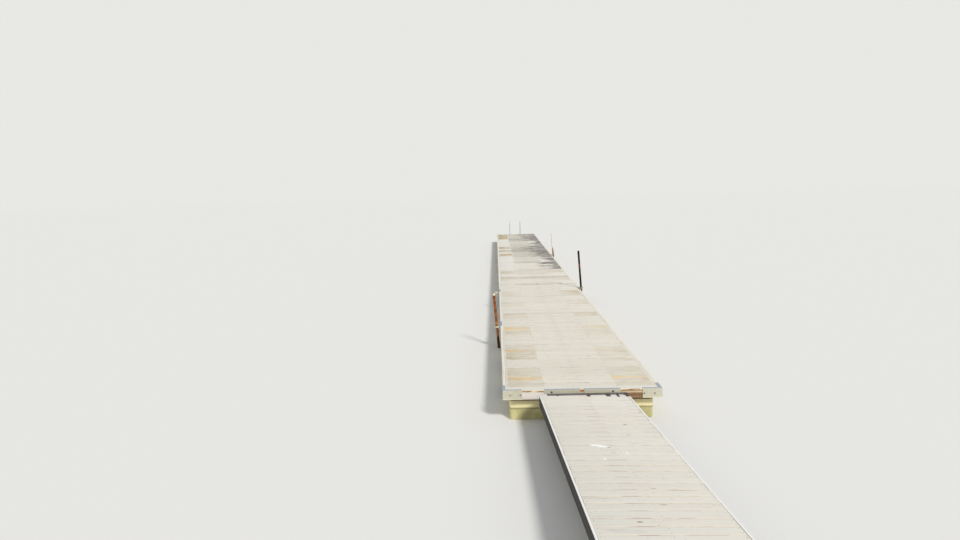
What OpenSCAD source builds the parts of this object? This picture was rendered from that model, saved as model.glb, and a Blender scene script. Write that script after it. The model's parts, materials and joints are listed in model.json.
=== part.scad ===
// Floating wooden jetty: three decked bays on foam floats, coupled end to end by pinned steel lugs,
// held in place by steel pipes that stand in ring brackets, with a bathing ladder at the far end
// and a narrower gangway hinged to the near end.
// Millimetres. X runs across the deck, Y runs out over the water, Z is up.
// The origin is the middle of the whole length and width, at the level of the floats' undersides.

/* [Bays] */
// Width of the deck over its two side beams
deck_w = 2000; // [1800:10:2200]
// Length of one bay, from the face of one bay to the face of the next
bay_l = 9000; // [8800:10:9600]
// Open joint between two bays
bay_gap = 60; // [56:1:70]
// Thickness of the deck boards
board_t = 28; // [22:1:34]

/* [Timber frame] */
// Height of the side beams, whose tops are level with the boards
beam_h = 120; // [112:1:150]
// Thickness of the side beams
side_beam_t = 40; // [34:1:50]
// Thickness of the inner joists and end beams
joist_t = 45; // [36:1:50]
// Number of joists under the boards, the outer two along the side beams
joist_count = 5; // [4:1:6]
// Width of the bearers across the frame
bearer_w = 95; // [70:5:145]
// Height of the bearers, which hold the floats clear of the frame
bearer_h = 50; // [30:1:60]
// Distance from the deck's side to the end of a bearer
bearer_inset = 50; // [30:5:70]

/* [Floats] */
// Length of one foam float
float_l = 860; // [800:10:900]
// Width of one foam float
float_w = 500; // [400:10:600]
// Height of one foam float
float_h = 250; // [200:10:300]
// Floats along each side of a bay
floats_per_side = 6; // [5:1:6]
// Distance from one float to the next, middle to middle
float_pitch = 1400; // [1350:10:1450]
// Distance from the deck's side to the float
float_side = 80; // [60:5:120]
// Distance from a free end of the jetty to the first float
float_end = 110; // [50:5:120]
// Bevel on the upright edges of a float
float_bevel = 22; // [10:1:40]

/* [Galvanised fittings] */
// Thickness of the steel plates
plate_t = 6; // [5:1:8]
// Leg of a corner plate along the end of a bay
corner_l = 240; // [200:5:280]
// Leg of a corner plate along the side of a bay
corner_side = 220; // [160:5:240]
// Width of the flange that a corner plate or bracket lays on the deck
flange_w = 32; // [24:1:60]
// Width of a coupling plate
end_plate_w = 455; // [440:1:480]
// Distance from the middle of the bay to a coupling plate
end_plate_in = 25; // [20:1:40]
// Distance from the middle of the bay to a coupling lug
lug_x = 387; // [370:1:400]
// Thickness of a lug
lug_t = 10; // [8:1:12]
// Clear width between the two lugs of a pair
lug_pair_gap = 14; // [14:1:16]
// Radius of a lug's round end
lug_r = 18; // [16:0.5:18]
// Radius of the coupling pins
pin_r = 10; // [8:0.5:10]
// Play between a pin and its holes
pin_play = 0.5; // [0.3:0.1:1]

/* [Mooring pipes] */
// Outside radius of a pipe
pipe_r = 24.15; // [20:0.05:24.15]
// Wall of a pipe
pipe_wall = 3.2; // [2.6:0.1:5]
// Distance from the deck's side to the middle of a pipe
pipe_out = 65; // [56:1:120]
// Height of the left pipe above the deck
pipe_left_up = 605; // [500:5:900]
// Height of the nearer right pipe above the deck
pipe_right_near_up = 917; // [500:1:1000]
// Height of the farther right pipe above the deck
pipe_right_far_up = 797; // [500:1:1000]
// Inside radius of a ring
ring_r = 38; // [36:0.5:42]
// Wall of a ring
ring_wall = 8; // [6:0.5:10]
// Height of a ring
ring_h = 32; // [24:1:50]
// Length of the steel angle that carries a ring
bracket_l = 420; // [300:10:600]

/* [Ladder] */
// Radius of the ladder's tubes
rail_r = 16.85; // [15:0.05:20]
// Height of the handrails above the deck
rail_up = 700; // [600:10:900]
// Radius of the bend at the top of a handrail
rail_bend = 130; // [100:5:160]
// Distance from the frame's end to the middle of the ladder's tubes
rail_out = 100; // [90:1:120]
// Place of the left handrail across the deck
rail_left_x = -310; // [-330:1:-300]
// Place of the right handrail across the deck
rail_right_x = 239; // [230:1:330]
// Height of the lowest step
first_step_z = 45; // [40:1:60]
// Rise from one step to the next
step_rise = 250; // [220:1:255]
// Number of steps
step_count = 2; // [1:1:2]

/* [Gangway] */
// Width of the gangway over its side boards
gang_w = 1130; // [1000:1:1200]
// Length of the gangway
gang_l = 4800; // [4200:10:5400]
// Height of the gangway's sides, boards included
gang_h = 120; // [110:1:150]
// Thickness of the gangway's side boards
gang_side_t = 22; // [20:1:30]
// Height of the jetty's deck over the gangway's end
gang_drop = 34; // [30:1:60]
// Distance from the jetty's end to the middle of the gangway's end
gang_out = 75; // [75:1:100]
// Distance that the gangway's end lies to the right of the jetty's middle
gang_x = 6; // [-20:1:20]
// Turn of the gangway in plan, with its shore end to the right
gang_yaw = 2.6; // [0:0.01:3]
// Rise of the gangway towards the shore, in degrees
gang_slope = 1.75; // [0:0.05:3]
// Lean of the gangway to its right, in degrees
gang_roll = 2; // [0:0.1:2.5]
// Cut across each corner of the gangway's end at the jetty
gang_cut = 100; // [60:5:110]
// Thickness of the gangway's stringers and cross beams
gang_joist_t = 45; // [36:1:50]
// Rows of cross beams between the gangway's ends
gang_row_count = 4; // [2:1:5]
// Thickness of the hinge's base plates
hinge_plate_t = 8; // [6:1:10]

/* [Hidden] */
$fn = 64;

BAYS = 3;
frame_l = bay_l - bay_gap;
inner_w = deck_w - 2 * side_beam_t;
joist_h = beam_h - board_t;

// Levels, from the undersides of the floats
beam_z = float_h + bearer_h;
deck_z = beam_z + beam_h;
lug_z = beam_z + joist_h / 2;
ring_z = deck_z - ring_h;

// The pins lie half way across the open joint
pin_out = bay_gap / 2;
pin_head_r = 16;
pin_head_t = 8;
nut_t = 12;
thread_end = 4;
eps = 1;

// Reach of the whole jetty from the near end of its first bay
tread = 76;
far_reach = BAYS * bay_l - bay_gap + rail_out + tread / 2;
shore_left = cos(gang_roll) * gang_w / 2 + sin(gang_roll) * gang_h;
shore_low = cos(gang_roll) * gang_h - sin(gang_roll) * gang_w / 2;
shore_reach = gang_out + sin(gang_yaw) * shore_left
    + cos(gang_yaw) * (gang_l * cos(gang_slope) + sin(gang_slope) * shore_low);
near_y = (shore_reach - far_reach) / 2;

function bay_y(n) = near_y + (n - 1) * bay_l;

// The floats of the first and last bay stand close to the jetty's free ends, those of the middle bay in its middle
float_row_l = (floats_per_side - 1) * float_pitch + float_l;
float_spare_l = frame_l - 2 * float_end - float_row_l;
function float_y(n, k) = float_end + (n - 1) * float_spare_l / (BAYS - 1) + k * float_pitch;

// Places of the brackets along the jetty, from the near end, and the pipes' lean in degrees
left_pipe_y = near_y + 3900;
left_spare_y = near_y + 7850;
right_near_y = near_y + 8300;
right_far_y = near_y + 16240;
left_lean = -4.15;
right_near_lean = -3.9;
right_far_lean = -4.5;

// Box between two opposite corners, given in any order
module span(a, b) {
    translate([min(a.x, b.x), min(a.y, b.y), min(a.z, b.z)])
        cube([abs(a.x - b.x), abs(a.y - b.y), abs(a.z - b.z)]);
}

module bay(n) {
    translate([0, bay_y(n), 0]) children();
}

// Rod along X, from x0 to x1
module rod(x0, x1, y, z, r, facets = $fn) {
    translate([x0, y, z]) rotate([0, 90, 0]) cylinder(r = r, h = x1 - x0, $fn = facets);
}

// Outline in Y and Z, extruded along X about the middle x
module plate_along_x(x, t, points) {
    translate([x - t / 2, 0, 0]) rotate([90, 0, 90]) linear_extrude(t) polygon(points);
}

// Deck of one bay: the boards lie across it between the side beams
module deck(n) {
    color("antiquewhite") bay(n)
        span([-inner_w / 2, 0, deck_z - board_t], [inner_w / 2, frame_l, deck_z]);
}

module side_beams(n) {
    color("wheat") bay(n)
        for (side = [-1, 1])
            span([side * deck_w / 2, 0, beam_z], [side * inner_w / 2, frame_l, deck_z]);
}

module end_beams(n) {
    color("tan") bay(n)
        for (y = [0, frame_l - joist_t])
            span([-inner_w / 2, y, beam_z], [inner_w / 2, y + joist_t, beam_z + joist_h]);
}

module joists(n) {
    color("burlywood") bay(n)
        for (i = [1:joist_count]) {
            x = (i - (joist_count + 1) / 2) * (inner_w - joist_t) / (joist_count - 1);
            span([x - joist_t / 2, joist_t, beam_z],
                 [x + joist_t / 2, frame_l - joist_t, beam_z + joist_h]);
        }
}

// Two bearers lie over each pair of floats
module float_bearers(n) {
    half_l = deck_w / 2 - bearer_inset;
    color("burlywood") bay(n)
        for (k = [0:floats_per_side - 1], y = [0.12 * float_l, 0.88 * float_l - bearer_w])
            span([-half_l, float_y(n, k) + y, float_h], [half_l, float_y(n, k) + y + bearer_w, beam_z]);
}

// Foam block with its upright edges bevelled
module float_block() {
    w = float_w;
    l = float_l;
    b = float_bevel;
    linear_extrude(float_h)
        polygon([[b, 0], [w - b, 0], [w, b], [w, l - b], [w - b, l], [b, l], [0, l - b], [0, b]]);
}

module floats(n) {
    left_x = float_side - deck_w / 2;
    right_x = deck_w / 2 - float_side - float_w;
    color("lightyellow") bay(n)
        for (k = [0:floats_per_side - 1], x = [left_x, right_x])
            translate([x, float_y(n, k), 0]) float_block();
}

// Only the ends of the jetty that no other bay joins have flanges over the edge of the deck
function is_free_end(n, out) = out < 0 ? n == 1 : n == BAYS;

// Steel angle round the corner of a bay. side is -1 or 1 for left or right,
// out is -1 at the near end of the bay and 1 at its far end.
module corner_plate(side, out, flanged) {
    face = out < 0 ? 0 : frame_l;
    half = deck_w / 2;
    span([side * (half - corner_l), face, beam_z],
         [side * (half + plate_t), face + out * plate_t, deck_z]);
    span([side * half, face + out * plate_t, beam_z],
         [side * (half + plate_t), face - out * corner_side, deck_z]);
    if (flanged) {
        span([side * (half - corner_l), face + out * plate_t, deck_z],
             [side * (half + plate_t), face - out * flange_w, deck_z + plate_t]);
        span([side * (half - flange_w), face + out * plate_t, deck_z],
             [side * (half + plate_t), face - out * corner_side, deck_z + plate_t]);
    }
}

module corner_plates(n) {
    color("lightsteelblue") bay(n)
        for (side = [-1, 1], out = [-1, 1])
            corner_plate(side, out, is_free_end(n, out));
}

// Lug with a hole for the pin, standing out from the face of a bay
module lug(x, out) {
    face = out < 0 ? 0 : frame_l;
    y = face + out * pin_out;
    difference() {
        union() {
            span([x - lug_t / 2, face, lug_z - lug_r], [x + lug_t / 2, y, lug_z + lug_r]);
            rod(x - lug_t / 2, x + lug_t / 2, y, lug_z, lug_r);
        }
        rod(x - lug_t / 2 - eps, x + lug_t / 2 + eps, y, lug_z, pin_r + pin_play);
    }
}

// Plate bolted to the end beam: a pair of lugs at the near end, a single lug at the far end
module coupling_plate(side, out, flanged) {
    face = out < 0 ? 0 : frame_l;
    half_pair = (lug_pair_gap + lug_t) / 2;
    inner_x = side * end_plate_in;
    outer_x = side * (end_plate_in + end_plate_w);
    span([inner_x, face, beam_z], [outer_x, face + out * plate_t, deck_z]);
    if (flanged)
        span([inner_x, face + out * plate_t, deck_z], [outer_x, face - out * flange_w, deck_z + plate_t]);
    if (out < 0) {
        lug(side * lug_x - half_pair, out);
        lug(side * lug_x + half_pair, out);
    } else {
        lug(side * lug_x, out);
    }
}

module coupling_plates(n) {
    color("silver") bay(n)
        for (side = [-1, 1], out = [-1, 1])
            coupling_plate(side, out, is_free_end(n, out));
}

// Bolts through the pairs of lugs at the near end of a bay, each with a head and a nut
module pins(n) {
    half_pair = lug_pair_gap / 2 + lug_t;
    color("dimgray") bay(n)
        for (side = [-1, 1]) {
            x = side * lug_x;
            tail = x - half_pair - nut_t - thread_end;
            rod(tail, x + half_pair + pin_head_t, -pin_out, lug_z, pin_r);
            rod(x + half_pair, x + half_pair + pin_head_t, -pin_out, lug_z, pin_head_r, 6);
            rod(x - half_pair - nut_t, x - half_pair, -pin_out, lug_z, pin_head_r, 6);
        }
}

// The gangway's own frame: its end towards the jetty at y = 0 and its walking surface at z = 0
module gangway() {
    translate([gang_x, near_y - gang_out, deck_z - gang_drop])
        rotate([0, 0, gang_yaw]) rotate([-gang_slope, 0, 0]) rotate([0, gang_roll, 0]) children();
}

gang_half = gang_w / 2;
gang_in = gang_half - gang_side_t;

// The gangway's own frame, with both corners of its end at the jetty cut off
module cut_gangway() {
    gangway()
        difference() {
            children();
            for (side = [-1, 1])
                translate([0, 0, -gang_h - eps]) linear_extrude(gang_h + 2 * eps)
                    polygon([
                        [side * (gang_half - gang_cut - eps), eps], [side * (gang_half + eps), -gang_cut - eps],
                        [side * (gang_half + eps), eps]
                    ]);
        }
}

module gangway_deck() {
    color("gainsboro") cut_gangway()
        span([-gang_in, -gang_l, -board_t], [gang_in, 0, 0]);
}

module gangway_side(side) {
    color("whitesmoke") cut_gangway()
        span([side * gang_half, -gang_l, -gang_h], [side * gang_in, 0, 0]);
}

module gangway_stringers() {
    edge = gang_in - gang_joist_t / 2;
    color("gray") cut_gangway()
        for (x = [-edge, 0, edge])
            span([x - gang_joist_t / 2, -gang_l + gang_joist_t, -gang_h],
                 [x + gang_joist_t / 2, -gang_joist_t, -board_t]);
}

// A beam across each end, and rows of short beams between the stringers
module gangway_cross_beams() {
    row_pitch = (gang_l - gang_joist_t) / (gang_row_count + 1);
    color("gray") cut_gangway() {
        for (y = [-gang_l, -gang_joist_t])
            span([-gang_in, y, -gang_h], [gang_in, y + gang_joist_t, -board_t]);
        for (row = [1:gang_row_count], side = [-1, 1]) {
            y = -gang_l + row * row_pitch;
            span([side * gang_joist_t / 2, y, -gang_h],
                 [side * (gang_in - gang_joist_t), y + gang_joist_t, -board_t]);
        }
    }
}

// Dark rubber flap nailed over the end boards. It lies askew: on the left it covers the boards, and on the right
// it grows thicker, reaches over the gap to the jetty and runs on past the cut corner.
module gangway_flap() {
    left_t = 4;
    right_t = 15;
    left_near = 85;
    left_far = 10;
    right_near = 16;
    past_cut = 85;
    clear_of_plates = 20;
    flap_left = gang_half - gang_cut;
    flap_right = flap_left + past_cut;
    right_far = gang_out - clear_of_plates - sin(gang_yaw) * flap_right;
    taper = atan((right_t - left_t) / (flap_left + flap_right));
    color("dimgray") gangway()
        difference() {
            linear_extrude(right_t + eps)
                polygon([
                    [-flap_left, -left_near], [flap_right, -right_near], [flap_right, right_far],
                    [-flap_left, -left_far]
                ]);
            translate([-flap_left, 0, left_t]) rotate([0, -taper, 0])
                span([-right_t, -gang_out - left_near, 0], [gang_w, gang_out + left_near, 2 * right_t]);
        }
}

// Hinge eye: a base plate on the gangway's end beam, and a web out to the pin between the lugs
module hinge_eye(side) {
    x = side * lug_x;
    pin_y = near_y - pin_out;
    base_half = 60;
    web_depth = 70;
    root_y = near_y - gang_out + sin(gang_yaw) * (x - gang_x) - sin(gang_slope) * web_depth + hinge_plate_t / 2;
    difference() {
        union() {
            gangway()
                span([x - gang_x - base_half, 0, -gang_h], [x - gang_x + base_half, hinge_plate_t, -4]);
            plate_along_x(x, lug_t, [
                [pin_y, lug_z + lug_r], [root_y, lug_z + lug_r], [root_y, lug_z - web_depth],
                [pin_y, lug_z - lug_r]
            ]);
            rod(x - lug_t / 2, x + lug_t / 2, pin_y, lug_z, lug_r);
        }
        rod(x - lug_t / 2 - eps, x + lug_t / 2 + eps, pin_y, lug_z, pin_r + pin_play);
    }
}

module gangway_hinge_eyes() {
    color("slategray")
        for (side = [-1, 1])
            hinge_eye(side);
}

// Bracket on a side beam: a long steel angle with a ring at one end.
// The angle runs away from the ring in the direction of along, -1 or 1.
module bracket(side, y, along) {
    half = deck_w / 2;
    ring_x = side * (half + pipe_out);
    angle_h = 110;
    arm_half = 34;
    arm_t = 8;
    gusset_h = 70;
    end_y = y - along * 40;
    far_y = end_y + along * bracket_l;
    color("lightsteelblue")
        difference() {
            union() {
                span([side * half, end_y, deck_z - angle_h], [side * (half + plate_t), far_y, deck_z]);
                span([side * (half - flange_w), end_y, deck_z],
                     [side * (half + plate_t), far_y, deck_z + plate_t]);
                span([side * half, y - arm_half, deck_z - arm_t], [ring_x, y + arm_half, deck_z]);
                translate([side * half, y + arm_t / 2, deck_z - arm_t]) rotate([90, 0, 0])
                    linear_extrude(arm_t)
                        polygon([[0, 0], [side * (pipe_out - ring_r), 0], [0, -gusset_h]]);
                translate([ring_x, y, ring_z]) cylinder(r = ring_r + ring_wall, h = ring_h);
            }
            translate([ring_x, y, ring_z - eps]) cylinder(r = ring_r, h = ring_h + 2 * eps);
        }
}

// Capped steel pipe through the ring at y, leaning by lean degrees to the right,
// cut off level at the bottom
module pipe(side, y, lean, up) {
    pivot_z = ring_z + ring_h / 2;
    top = (deck_z - pivot_z + up) / cos(lean);
    foot = 2 * pivot_z;
    color("sienna")
        intersection() {
            translate([side * (deck_w / 2 + pipe_out), y, pivot_z]) rotate([0, lean, 0])
                difference() {
                    translate([0, 0, -foot]) cylinder(r = pipe_r, h = foot + top);
                    translate([0, 0, -foot - eps])
                        cylinder(r = pipe_r - pipe_wall, h = foot + top - pipe_wall);
                }
            span([-2 * deck_w, y - deck_w, 0], [2 * deck_w, y + deck_w, 3 * deck_w]);
        }
}

far_y = bay_y(BAYS) + frame_l;
rail_y = far_y + rail_out;
rail_low = 20;
step_end_y = rail_y - 2 * rail_bend;

// Handrail: up from the water, over in a half circle and down to a foot on the deck
module ladder_rail(x) {
    bend_z = deck_z + rail_up - rail_r - rail_bend;
    foot_r = 45;
    stay_z = deck_z - 60;
    stay_half = 15;
    color("gainsboro") {
        translate([x, rail_y, rail_low]) cylinder(r = rail_r, h = bend_z - rail_low);
        translate([x, rail_y - rail_bend, bend_z]) rotate([90, 0, 90])
            rotate_extrude(angle = 180) translate([rail_bend, 0]) circle(r = rail_r);
        translate([x, step_end_y, deck_z]) cylinder(r = rail_r, h = bend_z - deck_z);
        translate([x, step_end_y, deck_z]) cylinder(r = foot_r, h = plate_t);
        span([x - stay_half, far_y + plate_t, stay_z], [x + stay_half, rail_y, stay_z + plate_t]);
    }
}

// Treads folded from sheet, open below, their ends cut to fit round the rails
module ladder_steps() {
    fold = 24;
    sheet_t = 4;
    color("gainsboro")
        difference() {
            for (k = [0:step_count - 1]) {
                z = first_step_z + k * step_rise;
                plate_along_x((rail_left_x + rail_right_x) / 2, rail_right_x - rail_left_x, [
                    [rail_y - tread / 2, z], [rail_y - tread / 2, z + fold],
                    [rail_y + tread / 2, z + fold], [rail_y + tread / 2, z],
                    [rail_y + tread / 2 - sheet_t, z], [rail_y + tread / 2 - sheet_t, z + fold - sheet_t],
                    [rail_y - tread / 2 + sheet_t, z + fold - sheet_t], [rail_y - tread / 2 + sheet_t, z]
                ]);
            }
            for (x = [rail_left_x, rail_right_x])
                translate([x, rail_y, 0]) cylinder(r = rail_r, h = deck_z);
        }
}

deck(1);  // deck_1
deck(2);  // deck_2
deck(3);  // deck_3
side_beams(1);  // side_beams_1
side_beams(2);  // side_beams_2
side_beams(3);  // side_beams_3
end_beams(1);  // end_beams_1
end_beams(2);  // end_beams_2
end_beams(3);  // end_beams_3
joists(1);  // joists_1
joists(2);  // joists_2
joists(3);  // joists_3
float_bearers(1);  // float_bearers_1
float_bearers(2);  // float_bearers_2
float_bearers(3);  // float_bearers_3
floats(1);  // floats_1
floats(2);  // floats_2
floats(3);  // floats_3
corner_plates(1);  // corner_plates_1
corner_plates(2);  // corner_plates_2
corner_plates(3);  // corner_plates_3
coupling_plates(1);  // coupling_plates_1
coupling_plates(2);  // coupling_plates_2
coupling_plates(3);  // coupling_plates_3
pins(1);  // gangway_pins
pins(2);  // coupling_pins_1
pins(3);  // coupling_pins_2
gangway_deck();
gangway_side(-1);  // gangway_left_side
gangway_side(1);  // gangway_right_side
gangway_stringers();
gangway_cross_beams();
gangway_flap();
gangway_hinge_eyes();
bracket(-1, left_pipe_y, 1);  // bracket_left
bracket(-1, left_spare_y, 1);  // bracket_left_spare
bracket(1, right_near_y, -1);  // bracket_right_near
bracket(1, right_far_y, -1);  // bracket_right_far
pipe(-1, left_pipe_y, left_lean, pipe_left_up);  // pipe_left
pipe(1, right_near_y, right_near_lean, pipe_right_near_up);  // pipe_right_near
pipe(1, right_far_y, right_far_lean, pipe_right_far_up);  // pipe_right_far
ladder_rail(rail_left_x);  // ladder_left_rail
ladder_rail(rail_right_x);  // ladder_right_rail
ladder_steps();
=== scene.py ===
import json
import math
import random

import bmesh
import bpy
from mathutils import Matrix, Vector
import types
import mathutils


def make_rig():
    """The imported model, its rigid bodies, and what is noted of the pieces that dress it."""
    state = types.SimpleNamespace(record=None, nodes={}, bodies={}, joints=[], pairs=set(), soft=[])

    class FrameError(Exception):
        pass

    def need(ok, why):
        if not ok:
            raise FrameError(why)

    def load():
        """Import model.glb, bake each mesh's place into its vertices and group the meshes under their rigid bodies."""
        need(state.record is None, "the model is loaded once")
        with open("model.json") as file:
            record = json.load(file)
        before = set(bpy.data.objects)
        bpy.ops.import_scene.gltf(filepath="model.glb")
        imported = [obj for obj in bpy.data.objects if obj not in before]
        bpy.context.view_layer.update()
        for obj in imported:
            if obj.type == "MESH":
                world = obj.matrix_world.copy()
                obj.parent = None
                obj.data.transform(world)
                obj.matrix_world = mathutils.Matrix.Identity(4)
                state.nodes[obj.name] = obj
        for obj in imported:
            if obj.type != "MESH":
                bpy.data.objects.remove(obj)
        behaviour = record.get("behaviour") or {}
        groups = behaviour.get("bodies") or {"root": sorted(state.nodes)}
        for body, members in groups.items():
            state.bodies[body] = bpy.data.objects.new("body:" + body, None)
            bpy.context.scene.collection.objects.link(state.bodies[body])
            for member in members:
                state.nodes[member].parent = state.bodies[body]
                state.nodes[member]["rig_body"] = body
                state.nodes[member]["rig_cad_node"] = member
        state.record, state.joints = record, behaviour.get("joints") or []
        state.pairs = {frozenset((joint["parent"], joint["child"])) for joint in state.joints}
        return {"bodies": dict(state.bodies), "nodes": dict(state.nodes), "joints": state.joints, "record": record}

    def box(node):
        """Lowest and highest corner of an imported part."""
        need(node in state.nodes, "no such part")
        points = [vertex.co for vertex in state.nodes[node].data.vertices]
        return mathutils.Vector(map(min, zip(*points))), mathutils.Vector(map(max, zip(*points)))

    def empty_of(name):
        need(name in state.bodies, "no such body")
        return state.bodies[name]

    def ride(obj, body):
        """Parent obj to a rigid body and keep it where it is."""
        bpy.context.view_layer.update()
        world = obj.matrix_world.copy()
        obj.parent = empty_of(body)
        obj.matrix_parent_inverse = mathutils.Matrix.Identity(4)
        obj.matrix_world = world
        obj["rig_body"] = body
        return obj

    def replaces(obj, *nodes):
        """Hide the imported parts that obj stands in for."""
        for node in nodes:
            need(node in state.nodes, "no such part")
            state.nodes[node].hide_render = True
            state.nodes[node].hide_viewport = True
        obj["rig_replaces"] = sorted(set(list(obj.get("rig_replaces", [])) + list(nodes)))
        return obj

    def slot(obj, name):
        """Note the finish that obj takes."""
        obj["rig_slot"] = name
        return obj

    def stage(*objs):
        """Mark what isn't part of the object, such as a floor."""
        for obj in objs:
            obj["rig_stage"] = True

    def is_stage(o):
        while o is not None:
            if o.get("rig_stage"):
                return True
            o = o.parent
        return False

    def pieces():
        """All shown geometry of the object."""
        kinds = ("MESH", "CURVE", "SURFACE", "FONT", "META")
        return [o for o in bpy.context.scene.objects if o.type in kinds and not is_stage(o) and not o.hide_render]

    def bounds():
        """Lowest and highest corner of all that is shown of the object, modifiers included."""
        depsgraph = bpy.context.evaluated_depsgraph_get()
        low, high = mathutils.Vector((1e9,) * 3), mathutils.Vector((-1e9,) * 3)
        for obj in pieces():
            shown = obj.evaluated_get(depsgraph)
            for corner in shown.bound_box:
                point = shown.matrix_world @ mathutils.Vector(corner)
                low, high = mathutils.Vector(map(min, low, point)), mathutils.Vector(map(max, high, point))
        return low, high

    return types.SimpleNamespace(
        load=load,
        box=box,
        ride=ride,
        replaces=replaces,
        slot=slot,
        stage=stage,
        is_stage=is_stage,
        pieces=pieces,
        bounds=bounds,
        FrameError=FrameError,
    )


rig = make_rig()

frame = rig.load()
cad_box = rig.bounds()


# Camera
# It stands a little to the left of the gangway, two and a half metres over the deck, and looks out
# along it. Its place is measured from the middle of the deck's near end.
def show(name, data):
    """Puts a mesh, a lamp or a camera into the scene, at the origin."""
    piece = bpy.data.objects.new(name, data)
    bpy.context.scene.collection.objects.link(piece)
    return piece


deck_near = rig.box("deck_1")[0].y
deck_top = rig.box("deck_1")[1].z
eye = Vector((-1.042, deck_near - 8.014, deck_top + 2.571))
turn_left, tilt_down, lean_right = math.radians(1.50), math.radians(7.26), math.radians(1.47)
view_camera = show("view_camera", bpy.data.cameras.new("view_camera"))
view_camera.data.sensor_width = 36
view_camera.data.lens = 24.49
view_camera.data.clip_end = 400
view_camera.matrix_world = (
    Matrix.Translation(eye)
    @ Matrix.Rotation(turn_left, 4, "Z")
    @ Matrix.Rotation(math.radians(90) - tilt_down, 4, "X")
    @ Matrix.Rotation(-lean_right, 4, "Z")
)
bpy.context.scene.camera = view_camera
bpy.context.scene.view_settings.view_transform = "Standard"


# Floor and light
# A plain pale floor at the level of the floats' undersides, under even pale light, with one broad
# lamp behind the camera and to its right.
def srgb(*colour):
    """A colour given as it looks on a screen, 0 to 255, as the linear colour that a shader takes."""
    shares = [part / 255 for part in colour]
    linear = [share / 12.92 if share <= 0.04045 else ((share + 0.055) / 1.055) ** 2.4 for share in shares]
    return (*linear, 1.0)


class Wire:
    """A node's output. Wires are reckoned with like numbers, and wire[name] is another output of its node."""

    def __init__(self, node, name=0):
        self.node, self.tree = node, node.id_data
        self.socket = node.outputs[name] if node.outputs else None

    def __getitem__(self, name):
        return Wire(self.node, name)

    def __iter__(self):
        return (Wire(self.node, place) for place in range(len(self.node.outputs)))

    def __add__(self, other):
        return calc("ADD", self, other)

    def __sub__(self, other):
        return calc("SUBTRACT", self, other)

    def __rsub__(self, other):
        return calc("SUBTRACT", other, self)

    def __mul__(self, other):
        return calc("MULTIPLY", self, other)

    def __truediv__(self, other):
        return calc("DIVIDE", self, other)

    def __rtruediv__(self, other):
        return calc("DIVIDE", other, self)

    def __abs__(self):
        return calc("ABSOLUTE", self)

    def __gt__(self, other):
        return calc("GREATER_THAN", self, other)


def add(kind, values=None, tree=None, **settings):
    """Adds a node with its settings and the values of its inputs, by name or place. Where no tree is given,
    it goes into that of the first wire among the values."""
    values = values or {}
    if tree is None:
        tree = next(value.tree for value in values.values() if isinstance(value, Wire))
    node = tree.nodes.new(kind)
    for name, setting in settings.items():
        setattr(node, name, setting)
    for name, value in values.items():
        if isinstance(value, Wire):
            tree.links.new(value.socket, node.inputs[name])
        else:
            node.inputs[name].default_value = value
    return Wire(node)


def calc(operation, *values, clamp=False):
    return add("ShaderNodeMath", dict(enumerate(values)), operation=operation, use_clamp=clamp)


def new_material(name):
    material = bpy.data.materials.new(name)
    material.use_nodes = True
    material.node_tree.nodes.clear()
    return material, material.node_tree


def surface(material, colour, rough, relief=None, specular=0.5, metallic=0.0):
    """Gives a material its shader. relief is a height, how deep it reaches and how strongly it shows."""
    tree = material.node_tree
    values = {"Base Color": colour, "Roughness": rough, "Specular IOR Level": specular, "Metallic": metallic}
    if relief:
        values["Normal"] = add("ShaderNodeBump", dict(zip(("Height", "Distance", "Strength"), relief)))
    add("ShaderNodeOutputMaterial", {0: add("ShaderNodeBsdfPrincipled", values, tree)})
    return material


floor_reach = 150
floor_corners = [(x * floor_reach, y * floor_reach, 0) for x, y in ((-1, -1), (1, -1), (1, 1), (-1, 1))]
floor_mesh = bpy.data.meshes.new("floor")
floor_mesh.from_pydata(floor_corners, [], [(0, 1, 2, 3)])
floor_mesh.materials.append(surface(new_material("pale_floor")[0], srgb(236, 236, 233), 0.9, specular=0.1))
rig.stage(show("floor", floor_mesh))

world = bpy.data.worlds.new("even_light")
bpy.context.scene.world = world
world.use_nodes = True
world.node_tree.nodes.clear()
rays = add("ShaderNodeLightPath", tree=world.node_tree)
seen = calc("MAXIMUM", rays["Is Camera Ray"], rays["Is Glossy Ray"])
lit = add("ShaderNodeBackground", {"Color": srgb(250, 252, 255), "Strength": 0.50}, world.node_tree)
shown = add("ShaderNodeBackground", {"Color": srgb(232, 232, 229), "Strength": 1.0}, world.node_tree)
add("ShaderNodeOutputWorld", {0: add("ShaderNodeMixShader", {0: seen, 1: lit, 2: shown})})

lamp = show("broad_lamp", bpy.data.lights.new("broad_lamp", "SUN"))
lamp.data.energy = 2.4
lamp.data.angle = math.radians(9)
lamp.data.color = (1.0, 0.975, 0.94)
lamp.rotation_euler = Vector((0.42, -0.72, 0.66)).to_track_quat("Z", "Y").to_euler()


# Foam floats
# Blocks of closed-cell foam, pale yellow, with a thin dark line at the level to which they sink and
# a greener tinge below it. Each is bolted up against two bearers.
def blend(share, under, over):
    """A mix of two colours, each a wire or a colour as it looks on a screen."""
    under, over = (tone if isinstance(tone, Wire) else srgb(*tone) for tone in (under, over))
    return add("ShaderNodeMix", {0: share, 6: under, 7: over}, data_type="RGBA")[2]


def layers(colour, *marks):
    """Lays tones over a colour one after another, each with the share that it takes."""
    for share, tone in marks:
        colour = blend(share, colour, tone)
    return colour


def object_place(tree):
    return add("ShaderNodeTexCoord", tree=tree)["Object"]


def parts_of(vector):
    return add("ShaderNodeSeparateXYZ", {0: vector})


def cloud(vector, scale, detail=3.0, rough=0.55):
    values = {"Vector": vector, "Scale": scale, "Detail": detail, "Roughness": rough}
    return add("ShaderNodeTexNoise", values)["Fac"]


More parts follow.
